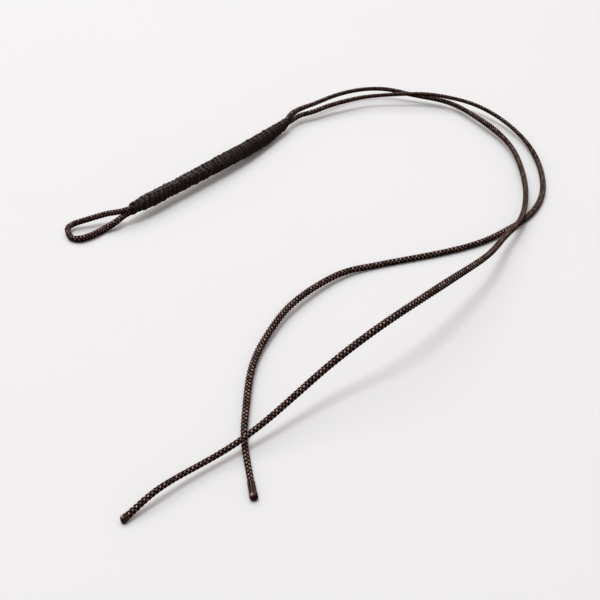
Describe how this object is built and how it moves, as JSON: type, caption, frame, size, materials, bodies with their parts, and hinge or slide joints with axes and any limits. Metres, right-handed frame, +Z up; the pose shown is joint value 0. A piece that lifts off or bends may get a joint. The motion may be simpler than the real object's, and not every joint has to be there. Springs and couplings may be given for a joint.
{
  "type": "whipped cord lanyard",
  "caption": "Dark braided cord folded double, with a small loop at the fold, a long thread whipping that binds the legs, and loose tails with melted ends.",
  "frame": {"origin": "on the table, under the middle of the lanyard as it lies", "axes": "+Y along the lie's length towards the far bend, +X across it away from the loop, +Z up"},
  "size_m": [0.1164, 0.1556, 0.0125],
  "materials": {
    "cord": "tight dark brown nylon braid, slightly shiny on its crowns",
    "thread": "near-black waxed thread, tightly wound",
    "melted_end": "melted and set nylon, glossy and uneven"
  },
  "bodies": {
    "root": {"loop": "cord", "upper_leg": "cord", "lower_leg": "cord", "inner_tail": "cord", "outer_tail": "cord", "inner_tail_tip": "melted_end", "outer_tail_tip": "melted_end", "whipping": "thread", "thread_start": "thread", "thread_finish": "thread"}
  },
  "joints": []
}
